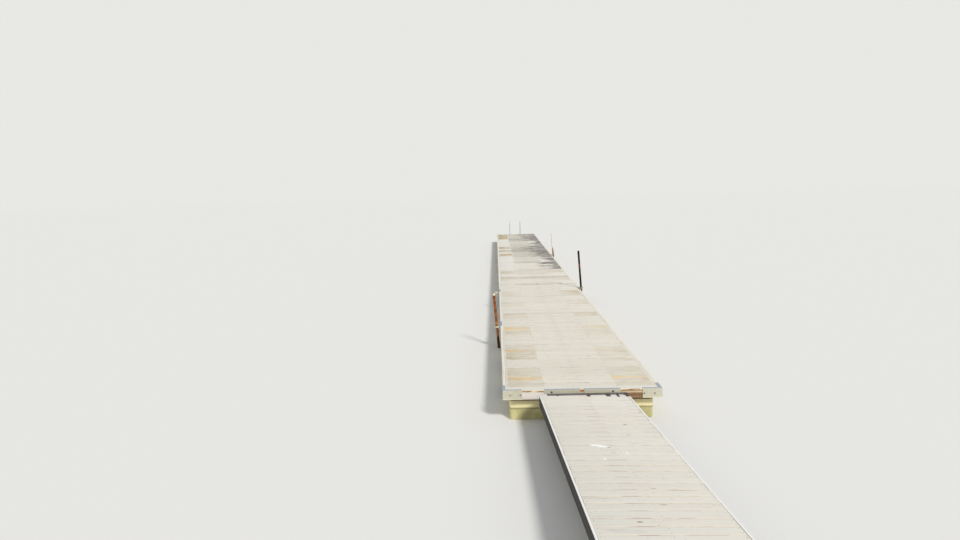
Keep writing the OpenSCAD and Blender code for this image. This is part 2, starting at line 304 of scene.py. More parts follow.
def step_up(value, low, high):
    """0 below low, 1 above high, and a smooth rise between them."""
    values = {0: value, 1: low, 2: high, 3: 0.0, 4: 1.0}
    return add("ShaderNodeMapRange", values, interpolation_type="SMOOTHSTEP")


def labelled(values):
    """Values by the labels of sockets, such as Patch Size for patch_size."""
    return {name.replace("_", " ").title(): value for name, value in values.items()}


def group_of(build, kind, inputs, outputs, output_kind):
    """A node group with named inputs and their usual values, and what a function returns when it is given
    the inputs' wires. An input without a value is named after its kind."""
    group = bpy.data.node_groups.new(build.__name__, kind)
    new_socket = group.interface.new_socket
    for label, value in labelled(inputs).items():
        number = {float: "Float", int: "Int"}.get(type(value))
        socket = new_socket(label, in_out="INPUT", socket_type="NodeSocket" + (number or label))
        if number:
            socket.default_value = value
    for label in outputs:
        new_socket(label, in_out="OUTPUT", socket_type=output_kind)
    given = add("NodeGroupInput", tree=group)
    return group, build(*(given[label] for label in labelled(inputs)))


def shader_group(*outputs, **inputs):
    """Makes a shader group of the function that follows, which takes a vector and the named inputs and
    returns a wire for each output. Its name then stands for a function that places the group."""

    def group_from(build):
        every_input = {"vector": None, **inputs}
        group, made = group_of(build, "ShaderNodeTree", every_input, outputs, "NodeSocketFloat")
        add("NodeGroupOutput", dict(zip(outputs, made)))

        def place(vector, **values):
            return add("ShaderNodeGroup", labelled({"vector": vector, **values}), node_tree=group)

        return place

    return group_from


@shader_group("Patches", "Specks", patch_size=0.5, speck_size=0.02)
def dirt(vector, patch_size, speck_size):
    """Soft patches and small specks, as damp and dirt leave them."""
    patches = cloud(vector, 1.0 / patch_size, 4.0, 0.6)
    specks = cloud(vector, 1.0 / speck_size, 2.0, 0.5)
    return step_up(patches, 0.35, 0.68), step_up(specks, 0.66, 0.74)


float_line = deck_top - 0.27


def foam_material():
    material, tree = new_material("float_foam")
    place = object_place(tree)
    marks = dirt(place, patch_size=0.22, speck_size=0.012)
    beads = add("ShaderNodeTexVoronoi", {"Vector": place, "Scale": 170.0})["Distance"]
    ragged = cloud(place, 14.0) * 0.018 + parts_of(place)["Z"]
    wet = 1.0 - step_up(ragged, float_line, float_line + 0.03)
    rim = wet * step_up(ragged, float_line - 0.012, float_line + 0.01)
    slime = blend(marks["Patches"], (206, 198, 142), (158, 154, 104))
    colour = blend(beads, (250, 240, 192), (240, 229, 174))
    colour = layers(colour, (marks["Patches"] * 0.30, (222, 209, 156)), (wet * 0.8, slime),
                    (rim * 0.75, (112, 104, 66)), (marks["Specks"] * 0.5, (112, 98, 66)))
    return surface(material, colour, wet * -0.3 + 0.85, (beads, 0.0012, 0.6))


def finish_nodes(names, material, bevel):
    """Gives CAD nodes their material and rounds their edges."""
    for name in names:
        piece = frame["nodes"][name]
        piece.data.materials.clear()
        piece.data.materials.append(material)
        weld = piece.modifiers.new("join_faces", "WELD")
        weld.merge_threshold = 0.00002
        rounding = piece.modifiers.new("rounded_edges", "BEVEL")
        rounding.width = bevel
        rounding.segments = 2
        rounding.limit_method = "ANGLE"
        rounding.angle_limit = math.radians(40)


bays = (1, 2, 3)
finish_nodes([f"floats_{bay}" for bay in bays], foam_material(), 0.008)


# Frame timbers
# Sawn softwood: side beams flush with the boards, end beams, joists under the boards, and bearers
# bolted across below them over the floats. The outside has bleached, and inside it stays brown.
def cut_across(shape, place, normal, **ways):
    """Cuts the faces of a bmesh along a plane."""
    everything = shape.verts[:] + shape.edges[:] + shape.faces[:]
    bmesh.ops.bisect_plane(shape, geom=everything, plane_co=place, plane_no=normal, **ways)


def bar(lo, hi, bevel=0.003, spacing=0.4, wander=0.0012, seed=0):
    """A sawn timber between two corners as a bmesh: rounded arrises, cuts along its length so that it
    can stray a little from straight, and the place of each point along the grain as an attribute."""
    lo, hi = Vector(lo), Vector(hi)
    size = hi - lo
    along = max(range(3), key=lambda i: size[i])
    across = [i for i in range(3) if i != along]
    made = bmesh.new()
    bmesh.ops.create_cube(made, size=1.0)
    bmesh.ops.scale(made, vec=size, verts=made.verts)
    bmesh.ops.translate(made, vec=(lo + hi) / 2, verts=made.verts)
    bmesh.ops.bevel(made, geom=made.edges[:], offset=bevel, segments=2, profile=0.6, affect="EDGES")
    normal = Vector((0, 0, 0))
    normal[along] = 1
    cuts = max(1, round(size[along] / spacing))
    for cut in range(1, cuts):
        at = lo.copy()
        at[along] += size[along] * cut / cuts
        cut_across(made, at, normal)
    grain = made.verts.layers.float_vector.new("grain_place")
    shift = random.Random(seed)
    offset = Vector([shift.uniform(0, 40) for _ in range(3)])
    phase = (shift.uniform(0, 6), shift.uniform(0, 6))
    for point in made.verts:
        co = point.co
        point[grain] = Vector((co[along], co[across[0]], co[across[1]])) + offset
        if wander:
            for k, axis in enumerate(across):
                stray = math.sin(co[along] * 1.9 + phase[k]) + 0.5 * math.sin(co[along] * 5.3 + phase[1 - k])
                co[axis] += wander * 0.6 * stray
    return made


def boxes_of(node_name, axis):
    """The CAD node's separate bars, as pairs of corners, found by where its points lie along an axis. Points
    less than a millimetre apart count as one level."""
    levels = []
    for level in sorted(vertex.co[axis] for vertex in frame["nodes"][node_name].data.vertices):
        if not levels or level - levels[-1] > 0.001:
            levels.append(level)
    boxes = []
    for start, end in zip(levels[::2], levels[1::2]):
        lo, hi = (corner.copy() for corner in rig.box(node_name))
        lo[axis], hi[axis] = round(start, 4), round(end, 4)
        boxes.append((lo, hi))
    return boxes


def bars_of(node_name, axis, seed, **options):
    return [bar(lo, hi, seed=seed + k, **options) for k, (lo, hi) in enumerate(boxes_of(node_name, axis))]


sharp_from = math.radians(34)


def put_piece(name, mesh, body, slot, stands_for=()):
    """Puts a finished mesh into the scene as a piece that rides on a body and stands for CAD nodes."""
    mesh.shade_smooth()
    mesh.set_sharp_from_angle(angle=sharp_from)
    piece = show(name, mesh)
    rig.ride(piece, body)
    if stands_for:
        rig.replaces(piece, *stands_for)
    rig.slot(piece, slot)


def piece_from(name, shapes, material, body, slot, stands_for=()):
    """One piece made of several bmeshes."""
    mesh = bpy.data.meshes.new(name)
    whole = bmesh.new()
    for shape in shapes:
        part = bpy.data.meshes.new("part")
        shape.to_mesh(part)
        shape.free()
        whole.from_mesh(part)
        bpy.data.meshes.remove(part)
    bmesh.ops.recalc_face_normals(whole, faces=whole.faces[:])
    whole.to_mesh(mesh)
    whole.free()
    mesh.materials.append(material)
    put_piece(name, mesh, body, slot, stands_for)


def vector_of(x=0.0, y=0.0, z=0.0):
    return add("ShaderNodeCombineXYZ", {0: x, 1: y, 2: z})


def vector_calc(operation, first, second):
    return add("ShaderNodeVectorMath", {0: first, 1: second}, operation=operation)


def stretched(vector, x, y, z, detail=3.0, rough=0.55):
    """A cloud drawn out along each axis by its own measure."""
    return cloud(vector_calc("MULTIPLY", vector, (x, y, z)), 1.0, detail, rough)


@shader_group("Streaks", "Fibres", "Checks", "Knots", "Height", coarseness=1.0)
def sawn_grain(vector, coarseness):
    """Weathered sawn softwood: long streaks, fine fibres, checks that open along the grain, and knots."""
    place = add("ShaderNodeVectorMath", {0: vector, "Scale": 1.0 / coarseness}, operation="SCALE")
    bend = stretched(place, 1.6, 9.0, 9.0, 1.0) * 0.05 - 0.025
    bent = vector_calc("ADD", place, vector_of(0.0, bend, bend))
    streaks = stretched(bent, 0.9, 46.0, 46.0, 3.0, 0.6)
    fibres = stretched(bent, 5.0, 330.0, 330.0, 2.0, 0.6)
    checks = step_up(stretched(bent, 2.2, 120.0, 120.0, 2.0, 0.4), 0.66, 0.73)
    knot_place = vector_calc("MULTIPLY", place, (2.6, 6.5, 6.5))
    cells = add("ShaderNodeTexVoronoi", {"Vector": knot_place, "Scale": 1.0, "Randomness": 1.0})
    chosen = step_up(parts_of(cells["Color"])["X"], 0.62, 0.64)
    knots = (1.0 - step_up(cells["Distance"], 0.055, 0.10)) * chosen
    height = knots * 0.4 + (fibres * 0.5 + streaks * 0.5 - checks * 0.8)
    return streaks, fibres, checks, knots, height


def attribute(tree, name):
    return add("ShaderNodeAttribute", tree=tree, attribute_name=name)["Vector"]


def sawn_surface(material, colour, rough, grain):
    return surface(material, colour, rough, (grain["Height"], 0.0012, 0.7), specular=0.25)


def timber_material(name, pale, dark, knot, wash):
    """Sawn timber between a pale and a dark tone. wash is a tone that the weather lays over it in patches."""
    material, tree = new_material(name)
    grain = sawn_grain(attribute(tree, "grain_place"))
    marks = dirt(object_place(tree), patch_size=0.35, speck_size=0.02)
    colour = blend(step_up(grain["Streaks"], 0.32, 0.70), pale, dark)
    colour = layers(colour, (grain["Fibres"] * 0.28, dark), (marks["Patches"] * 0.35, wash),
                    (grain["Knots"] * 0.6, knot), (grain["Checks"] * 0.55, knot))
    return sawn_surface(material, colour, grain["Fibres"] * 0.2 + 0.68, grain)


bleached_edge = timber_material(
    "bleached_edge", (243, 239, 229), (231, 225, 212), (168, 150, 122), wash=(226, 219, 202))
inner_timber = timber_material(
    "inner_timber", (150, 130, 102), (112, 94, 72), (66, 52, 38), wash=(92, 84, 66))


def end_material():
    """The end beams: bleached pale beige to the left of the middle, still brown to the right of it."""
    material, tree = new_material("end_timber")
    place = attribute(tree, "grain_place")
    here = parts_of(object_place(tree))
    grain = sawn_grain(place, coarseness=1.2)
    streaks = step_up(grain["Streaks"], 0.3, 0.7)
    level = stretched(place, 3.0, 20.0, 20.0) * 0.03 + here["Z"]
    pale = blend(streaks, (243, 241, 232), (232, 224, 213))
    brown = blend(streaks, (164, 128, 98), (118, 86, 62))
    brown = blend(step_up(level, deck_top - 0.042, deck_top - 0.026), brown, (214, 196, 162))
    colour = blend(step_up(here["X"], -0.12, 0.0), pale, brown)
    colour = layers(colour, (grain["Fibres"] * 0.25, (120, 92, 66)), (grain["Checks"] * 0.6, (70, 52, 38)),
                    (grain["Knots"] * 0.5, (104, 74, 50)))
    return sawn_surface(material, colour, 0.8, grain)


end_timber = end_material()
ACROSS, ALONG = 0, 1
for bay in bays:
    sides, joists, bearers = f"side_beams_{bay}", f"joists_{bay}", f"float_bearers_{bay}"
    piece_from(f"side_timbers_{bay}", bars_of(sides, ACROSS, bay * 10, bevel=0.002), bleached_edge,
               f"bay_{bay}", "bleached_edge", [sides])
    under = bars_of(joists, ACROSS, bay * 20, wander=0) + bars_of(bearers, ALONG, bay * 40, wander=0)
    piece_from(f"under_timbers_{bay}", under, inner_timber, f"bay_{bay}", "inner_timber", [joists, bearers])
for bay in bays:
    ends = f"end_beams_{bay}"
    piece_from(f"end_timbers_{bay}", bars_of(ends, ALONG, bay * 60, wander=0), end_timber, f"bay_{bay}",
               "end_timber", [ends])


# Deck boards
# Softwood boards laid across the frame with narrow gaps, nailed to each joist and bleached almost
# white. Over each float the boards stay damp longer, and there they have darkened in oblongs.
def geometry_group(**inputs):
    """Makes a geometry group with named inputs of the function that follows."""

    def group_from(build):
        group, made = group_of(build, "GeometryNodeTree", inputs, ["Geometry"], "NodeSocketGeometry")
        add("NodeGroupOutput", {"Geometry": made})
        return group

    return group_from


def evaluate_group(name, group, mesh=None, at=None, **values):
    """Runs a geometry group on a mesh, or on an empty one, and returns what it makes as a plain mesh."""
    carrier = show(name, mesh or bpy.data.meshes.new("blank"))
    modifier = carrier.modifiers.new("make", "NODES")
    modifier.node_group = group
    values = labelled(values)
    for item in group.interface.items_tree:
        if item.in_out == "INPUT" and item.name in values:
            modifier[item.identifier] = values[item.name]
    graph = bpy.context.evaluated_depsgraph_get()
    made = bpy.data.meshes.new_from_object(carrier.evaluated_get(graph))
    bpy.data.objects.remove(carrier)
    made.name = name
    if at:
        made.transform(Matrix.Translation(at))
    return made


def chance(low, high, seed):
    return add("FunctionNodeRandomValue", {2: low, 3: high, "Seed": seed}, data_type="FLOAT")[1]


def either_way(amount, seed):
    """A random value between minus and plus an amount."""
    return chance(amount * -1.0, amount, seed)


def store(geometry, name, value, domain):
    values = {"Geometry": geometry, "Name": name, "Value": value}
    return add("GeometryNodeStoreNamedAttribute", values, data_type="FLOAT", domain=domain)


def stored(geometry, name, kind="FLOAT"):
    return add("GeometryNodeInputNamedAttribute", {"Name": name}, geometry.tree, data_type=kind)


def on_points(points, instance, **more):
    return add("GeometryNodeInstanceOnPoints", {"Points": points, "Instance": instance, **labelled(more)})


def nudged(instances, offset):
    values = {"Instances": instances, "Translation": offset, "Local Space": False}
    return add("GeometryNodeTranslateInstances", values)


def turned(instances, rotation):
    return add("GeometryNodeRotateInstances", {"Instances": instances, "Rotation": rotation})


def made_real(instances):
    return add("GeometryNodeRealizeInstances", {"Geometry": instances})


def clad(geometry, material):
    return add("GeometryNodeSetMaterial", {"Geometry": geometry, "Material": material})


@geometry_group(geometry=None, count=60, pitch=0.15, board_width=0.146, shift=0.002, lift=0.0006, turn=0.0006,
                cup=0.0012, seed=1, material=None)
def board_rows(geometry, count, pitch, board_width, shift, lift, turn, cup, seed, material):
    """Repeats one board along Y, each a little out of line, turned, lifted and cupped."""
    place = parts_of(add("GeometryNodeInputPosition", tree=geometry.tree))
    board = store(geometry, "across", place["Y"] * 2.0 / board_width, "POINT")
    line = add("GeometryNodeMeshLine", {"Count": count, "Offset": vector_of(y=pitch)})
    move = vector_of(either_way(shift, seed), 0.0, either_way(lift, seed + 1.0))
    rows = turned(nudged(on_points(line, board), move), vector_of(z=either_way(turn, seed + 2.0)))
    real = made_real(store(rows, "board", chance(0.0, 1.0, seed + 3.0), "INSTANCE"))
    from_middle = stored(real, "across")
    amount = cup * (stored(real, "board") * 1.3 - 0.3)
    drop = (1.0 - from_middle * from_middle) * amount * -1.0
    return clad(add("GeometryNodeSetPosition", {"Geometry": real, "Offset": vector_of(z=drop)}), material)


board_pitch = 0.150
board_gap = 0.004
board_thick = 0.028


def mark_boards(mesh, pitch, start, seed, marks):
    """Gives each board its own stretch of grain and its marks, as marks(number) returns them: what shows on
    its left (damp, resin), on its right (damp, resin, and dark patches that are partly wet wood and partly
    painted tree shade), and how grey, bleached and dark it is."""
    labels = ("grain_place", "left_marks", "right_marks", "board_marks")
    for label in labels:
        if label not in mesh.attributes:
            mesh.attributes.new(label, "FLOAT_VECTOR", "POINT")
    grain, left, right, whole = (mesh.attributes[label].data for label in labels)
    shades = {}
    for point in mesh.vertices:
        number = int((point.co.y - start) // pitch)
        if number not in shades:
            roll = random.Random(seed * 1000 + number)
            away = Vector([roll.uniform(0, 50) for _ in range(3)])
            shades[number] = (away, roll.random(), marks(number))
        away, tone, (on_left, on_right, all_over) = shades[number]
        middle = start + (number + 0.5) * pitch
        grain[point.index].vector = away + Vector((point.co.x, point.co.y - middle, point.co.z))
        left[point.index].vector = (*on_left, tone)
        right[point.index].vector = on_right
        whole[point.index].vector = all_over


def pitch_of(low, high, count):
    return (high.y - low.y + board_gap) / count


def row_of_boards(name, low, high, top, count, material, shorter, seeds, marks, **options):
    """A row of boards between two corners, with their tops at a height. Each is a little shorter than the
    row is wide and cut lengthwise so that it can cup. seeds are for how they lie and for how they look."""
    pitch = pitch_of(low, high, count)
    length, width = high.x - low.x - shorter, pitch - board_gap
    board = bar((-length / 2, -width / 2, -board_thick), (length / 2, width / 2, 0), bevel=0.002, spacing=0.5,
                wander=0)
    for share in (-0.3, 0.0, 0.3):
        cut_across(board, (0, share * width, 0), (0, 1, 0))
    mesh = bpy.data.meshes.new("board")
    board.to_mesh(mesh)
    board.free()
    made = evaluate_group(name, board_rows, mesh, (0, low.y + width / 2, top), count=count, pitch=pitch,
                          board_width=width, seed=seeds[0], material=material, **options)
    mark_boards(made, pitch, low.y - board_gap / 2, seeds[1], marks)
    return made


def between(share, low, high):
    return add("ShaderNodeMix", {0: share, 2: low, 3: high})


def facing_up(tree):
    """How far a surface faces up."""
    return parts_of(add("ShaderNodeTexCoord", tree=tree)["Normal"])["Z"]


def boards_material(name, fresh, worn, streak, half_gap, half_reach, cut=(158, 116, 74), on_top=None):
    """Bleached boards. half_gap and half_reach are how far from the middle the damp oblongs begin and end,
    cut is the tone of the boards' sawn edges, and on_top lays more over the colour."""
    material, tree = new_material(name)
    place = attribute(tree, "grain_place")
    on_deck = object_place(tree)
    here = parts_of(on_deck)
    left_damp, left_resin, tone = parts_of(attribute(tree, "left_marks"))
    # wet is the strength of the right's dark patches, partly wet wood and partly painted tree shade.
    right_damp, right_resin, wet = parts_of(attribute(tree, "right_marks"))
    grey, bleached, dark = parts_of(attribute(tree, "board_marks"))
    grain = sawn_grain(place)
    soil = dirt(on_deck, patch_size=0.9, speck_size=0.03)
    blotches = step_up(stretched(place, 4.0, 14.0, 14.0, 4.0, 0.6), 0.32, 0.62)
    long_streaks = step_up(stretched(place, 2.2, 30.0, 30.0, 3.0, 0.6), 0.36, 0.62)
    patches = stretched(on_deck, 1.3, 0.8, 1.0, 3.0, 0.6)
    colour = layers(blend(tone, fresh, worn), (step_up(grain["Streaks"], 0.4, 0.75) * 0.34, streak),
                    (grain["Fibres"] * 0.10, (190, 180, 160)), (soil["Patches"] * 0.10, (206, 200, 184)))

    # Bleached towards the sides, and greyed along the middle.
    out = abs(here["X"]) + (cloud(place, 14.0) * 0.03 - 0.015)
    white = bleached * (step_up(patches, 0.35, 0.6) * 0.5 + 0.5)
    white = white * step_up(tone * 0.16 + out, half_gap, half_gap + 0.12)
    aisle = 1.0 - step_up(out, half_gap - 0.06, half_gap + 0.03)
    greyed = grey * aisle * (long_streaks * 0.9 + 0.35)
    colour = layers(colour, (white, (235, 233, 227)), (greyed, (150, 147, 136)))

    # Damp oblongs over the floats, with threads of resin.
    inside = step_up(out, half_gap - 0.004, half_gap + 0.010)
    inside = inside * (1.0 - step_up(out, half_reach - 0.010, half_reach + 0.004))
    to_right = here["X"] > 0.0
    outward = step_up(out, half_gap + 0.15, half_reach) * 0.45 + 0.65
    damp = inside * between(to_right, left_damp, right_damp) * (blotches * 0.8 + 0.35)
    damp = calc("MULTIPLY", damp, outward, clamp=True)
    damp_tone = blend(step_up(grain["Streaks"], 0.40, 0.60), (210, 197, 166), (164, 140, 104))
    resin = inside * between(to_right, left_resin, right_resin)
    thread = step_up(stretched(place, 2.4, 26.0, 26.0, 2.0), 0.46, 0.58)
    colour = layers(colour, (damp, damp_tone), (resin * thread, (248, 196, 88)))

    # Dark patches on the right, partly damp wood and partly painted tree shade, each from its own place outwards.
    across = patches * 1.1 + (blotches * 0.26 + (here["X"] - (wet * -0.62 + 0.98)) - 0.72)
    damp_and_shade = step_up(tone * 0.42 + across, 0.0, 0.20) * (wet > 0.001)
    damp_and_shade_pools = step_up(stretched(place, 1.7, 1.5, 1.0, 3.0, 0.6), 0.38, 0.60)
    damp_and_shade_tone = layers(blend(damp_and_shade_pools, (154, 150, 147), (87, 85, 86)), (long_streaks * 0.35, (90, 87, 84)),
                         (soil["Patches"] * 0.35, (136, 116, 102)))
    colour = layers(colour, (damp_and_shade * (damp_and_shade_pools * 0.22 + 0.76), damp_and_shade_tone),
                    (dark * (blotches * 0.8 + 0.2), (138, 130, 112)), (grain["Knots"] * 0.45, (160, 134, 98)),
                    (grain["Checks"] * 0.35, (130, 118, 98)), (soil["Specks"] * 0.25, (128, 116, 94)))

    # Sawn edges and ends, browner at the middle and along the right of the near end.
    upright = 1.0 - step_up(abs(facing_up(tree)), 0.3, 0.6)
    fringe = step_up(stretched(place, 9.0, 40.0, 60.0), 0.46, 0.60)
    at_middle = 1.0 - step_up(abs(here["X"]), 0.05, 0.09)
    shaded = 1.0 - step_up(fringe * 0.006 + here["Z"], deck_top - 0.016, deck_top - 0.008)
    shaded = shaded * step_up(here["X"], 0.44, 0.46)
    sawn = layers(blend(fringe, (236, 226, 200), cut), (at_middle, (176, 120, 70)),
                  (shaded * 0.85, (146, 108, 72)))
    colour = blend(upright, colour, sawn)
    if on_top:
        colour = on_top(colour)
    rough = damp_and_shade * -0.22 + (grain["Fibres"] * 0.18 + 0.66)
    return surface(material, colour, rough, (grain["Height"], 0.001, 0.6), specular=0.2)


deck_boards = boards_material(
    "deck_boards", (236, 233, 222), (229, 225, 213), (214, 205, 184), half_gap=0.465, half_reach=0.935)

# Each mark runs from one distance to another, in metres from the jetty's near end, with its strength.
damp_left = ((0.10, 0.98, 0.50), (1.43, 2.40, 0.46), (3.00, 3.90, 0.26), (4.45, 5.10, 0.26),
             (5.80, 6.48, 0.22), (7.05, 7.95, 0.16), (9.75, 10.45, 0.38), (11.10, 11.80, 0.56),
             (16.10, 16.95, 1.15), (17.60, 18.45, 0.75), (18.95, 19.75, 1.45), (23.75, 24.10, 0.80),
             (24.10, 27.10, 1.60))
damp_right = ((0.10, 0.98, 0.42), (1.30, 2.20, 0.30), (3.05, 3.90, 0.30), (4.65, 5.15, 0.48),
              (6.05, 6.60, 0.36), (7.15, 8.00, 0.50), (9.65, 10.45, 0.40), (11.20, 11.90, 0.40),
              (15.85, 17.20, 0.8))
grey_middle = ((8.85, 9.15, 0.18), (9.95, 10.45, 0.14), (11.0, 12.1, 0.14), (13.75, 14.40, 0.42),
               (14.40, 15.80, 0.16), (15.80, 17.40, 0.46), (17.40, 17.70, 0.60), (17.70, 18.30, 1.00),
               (18.30, 19.50, 0.55), (19.50, 20.90, 0.38), (20.90, 22.50, 0.26), (22.50, 23.00, 0.42),
               (23.00, 23.95, 0.75), (23.95, 27.10, 0.40))
# Where the dark patches on the right lie: partly wet wood, partly painted tree shade.
damp_and_shade_right = ((12.00, 13.30, 0.50), (13.30, 13.75, 0.90), (13.75, 15.75, 0.46), (15.75, 18.50, 0.98),
             (18.50, 19.95, 1.00), (19.95, 22.45, 0.50), (22.45, 24.20, 1.00), (24.20, 27.10, 0.96))
damp_and_shade_full_from = 15.75
bleached_sides = ((0, 6, 0.0), (6, 9, 0.25), (9, 12, 0.4), (12, 24, 0.75), (24, 27.1, 0.3))
# By the number of the board: how much resin shows on its left and on its right.
resin_boards = {3: (0.75, 0.55), 13: (0.45, 0.15), 24: (0.90, 0.40), 23: (0.3, 0.0), 31: (0.25, 0.0),
                33: (0.0, 0.30), 40: (0.35, 0.0), 50: (0.2, 0.0), 52: (0.0, 0.35), 109: (0.6, 0.1)}
dark_boards = {33: 0.10, 47: 0.15, 67: 0.08, 68: 0.50, 93: 0.20, 119: 0.30, 120: 0.35, 159: 0.30}
boards_in_a_bay = 60


def strength_at(marks, distance):
    return next((strength for start, end, strength in marks if start <= distance < end), 0.0)


def deck_marks(bay):
    """What shows on the boards of a bay, for mark_boards."""
    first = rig.box(f"deck_{bay}")[0].y - deck_near

    def marks(number):
        whole = (bay - 1) * boards_in_a_bay + number
        distance = first + (number + 0.5) * board_pitch
        roll = random.Random(7000 + whole)
        on_left = strength_at(damp_left, distance) * roll.uniform(0.6, 1.35)
        on_right = strength_at(damp_right, distance) * roll.uniform(0.5, 1.4)
        # How strong the right's dark patches are: partly wet wood, partly painted tree shade.
        least_damp_and_shade = 0.45 if distance < damp_and_shade_full_from else 0.75
        wet = strength_at(damp_and_shade_right, distance) * roll.uniform(least_damp_and_shade, 1.1)
        grey = strength_at(grey_middle, distance) * roll.uniform(0.5, 1.5)
        left_resin, right_resin = resin_boards.get(whole, (0.0, 0.0))
        return ((on_left, left_resin), (on_right, right_resin, wet),
                (grey, strength_at(bleached_sides, distance), dark_boards.get(whole, 0.0)))

    return marks


for bay in bays:
    low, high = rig.box(f"deck_{bay}")
    count = round((high.y - low.y) / board_pitch)
    made = row_of_boards(f"boards_{bay}", low, high, deck_top, count, deck_boards, 0.002, (bay * 11, bay),
                         deck_marks(bay))
    put_piece(f"boards_{bay}", made, f"bay_{bay}", "deck_boards", [f"deck_{bay}"])


# Deck screws
# Two zinc-plated screws hold each board to every joist. They are sunk level with the wood, and the
# weather has dulled them.
def join(*parts):
    joined = add("GeometryNodeJoinGeometry", tree=parts[0].tree)
    for part in parts:
        part.tree.links.new(part.socket, joined.node.inputs[0])
    return joined


def lifted(geometry, x, y, z):
    return add("GeometryNodeTransform", {"Geometry": geometry, "Translation": vector_of(x, y, z)})


def cone(sides, top, bottom, height):
    values = {"Vertices": sides, "Radius Top": top, "Radius Bottom": bottom, "Depth": height}
    return add("GeometryNodeMeshCone", values)


def grid(columns, column_pitch, rows, row_pitch):
    return add("GeometryNodeMeshGrid", {
        "Size X": (columns - 1.0) * column_pitch, "Size Y": (rows - 1.0) * row_pitch, "Vertices X": columns,
        "Vertices Y": rows})


@geometry_group(columns=5, column_pitch=0.47, rows=60, row_pitch=0.15, pair=0.09, head_radius=0.0045,
                head_height=0.0012, stray=0.005, seed=5, material=None)
def screw_pairs(columns, column_pitch, rows, row_pitch, pair, head_radius, head_height, stray, seed,
                material):
    """A grid of screw pairs: a column for each joist and a row for each board."""
    head = cone(8, head_radius * 0.55, head_radius, head_height)
    half = pair * 0.5
    both = join(lifted(head, 0.0, half, -0.0004), lifted(head, 0.003, half * -1.0, -0.0004))
    placed = on_points(grid(columns, column_pitch, rows, row_pitch), both)
    moved = nudged(placed, vector_of(either_way(stray, seed), either_way(stray, seed + 1.0)))
    return clad(made_real(moved), material)


@shader_group("Crystals", "Bloom", "Rust", crystal_size=0.012)
def zinc(vector, crystal_size):
    """Hot-dip zinc: crystals of slightly different grey, cloudy white bloom, and small rust specks."""
    crystals = add("ShaderNodeTexVoronoi", {"Vector": vector, "Scale": 1.0 / crystal_size})["Color"]
    bloom = step_up(cloud(vector, 14.0, 4.0), 0.42, 0.66)
    specks = step_up(cloud(vector, 90.0, 2.0), 0.64, 0.72) * step_up(cloud(vector, 5.0, 2.0), 0.48, 0.62)
    return parts_of(crystals)["X"], bloom, specks


def zinc_material(name, light, dark, metallic=0.35, rough=0.5, painted_sky_tint=None, lower=None):
    """Galvanised steel. The tone for faces that look up is a painted sky reflection, and lower is the tone of a
    painted glow of light thrown up along its lowest edge.
    """
    material, tree = new_material(name)
    place = object_place(tree)
    coat = zinc(place)
    colour = blend(coat["Bloom"] * 0.35, blend(coat["Crystals"], light, dark), light)
    # Painted sky reflection: faces that look up turn bluish.
    if painted_sky_tint:
        colour = blend(step_up(facing_up(tree), 0.6, 0.9), colour, painted_sky_tint)
    # Painted light thrown up from below: the lowest band is blended towards a paler tone.
    if lower:
        rise = step_up(parts_of(place)["Z"], deck_top - 0.118, deck_top - 0.098)
        colour = blend(rise * -0.8 + 0.8, colour, lower)
    colour = blend(coat["Rust"] * 0.7, colour, (138, 92, 56))
    rough = coat["Crystals"] * 0.18 + (rough - 0.09)
    return surface(material, colour, rough, (coat["Crystals"], 0.0003, 0.3), metallic=metallic)


dull_zinc = zinc_material("dull_zinc", (168, 164, 152), (128, 124, 114))
joist_boxes = boxes_of("joists_1", ACROSS)
joist_pitch = joist_boxes[1][0].x - joist_boxes[0][0].x
for bay in bays:
    low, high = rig.box(f"deck_{bay}")
    rows = round((high.y - low.y) / board_pitch)
    made = evaluate_group(
        f"deck_screws_{bay}", screw_pairs, at=(0, (low.y + high.y) / 2, deck_top), columns=len(joist_boxes),
        column_pitch=joist_pitch, rows=rows, row_pitch=pitch_of(low, high, rows), seed=50 + bay,
        material=dull_zinc)
    put_piece(f"deck_screws_{bay}", made, f"bay_{bay}", "dark_steel")


# Corner plates and coupling plates
# Hot-dip galvanised angles bolted round each corner of a bay and plates with lugs bolted to its ends.
# They have weathered to a dull cream grey. Their narrow flanges on the deck carry a painted bluish sky
# reflection, and their lowest edge a painted pale glow of light thrown up from below.
galvanised_plate = zinc_material(
    "galvanised_plate", (212, 209, 190), (198, 195, 172), metallic=0.2, rough=0.55, painted_sky_tint=(158, 170, 188),
    lower=(232, 226, 198))
steel_bevel = 0.0012
sixth_turn = 1.047
finish_nodes([f"{kind}_plates_{bay}" for bay in bays for kind in ("corner", "coupling")], galvanised_plate,
             steel_bevel)


@geometry_group(geometry=None, washer_radius=0.013, washer_thickness=0.002, head_radius=0.0088,
                head_height=0.0062, head_sides=6, seed=3, material=None)
def fasteners(geometry, washer_radius, washer_thickness, head_radius, head_height, head_sides, seed,
              material):
    """A washer and a hexagon head at each point, standing out along the point's own direction."""
    washer = add("GeometryNodeMeshCylinder", {
        "Vertices": 18, "Radius": washer_radius, "Depth": washer_thickness})
    head = cone(head_sides, head_radius * 0.9, head_radius, head_height)
    bolt = join(lifted(washer, 0.0, 0.0, washer_thickness * 0.5), lifted(head, 0.0, 0.0, washer_thickness))
    out = stored(geometry, "out", "FLOAT_VECTOR")
    aim = add("FunctionNodeAlignRotationToVector", {"Vector": out}, axis="Z")
    spin = vector_of(z=chance(0.0, sixth_turn, seed))
    return clad(made_real(turned(on_points(geometry, bolt, rotation=aim), spin)), material)


def bolts(name, body, places, material, **sizes):
    """Bolt heads on a body. Each place is a point and the direction in which its head stands out."""
    points = bpy.data.meshes.new(name)
    points.from_pydata([place for place, out in places], [], [])
    directions = points.attributes.new("out", "FLOAT_VECTOR", "POINT")
    for number, (place, out) in enumerate(places):
        directions.data[number].vector = out
    put_piece(name, evaluate_group(name, fasteners, points, material=material, **sizes), body, "dark_steel")


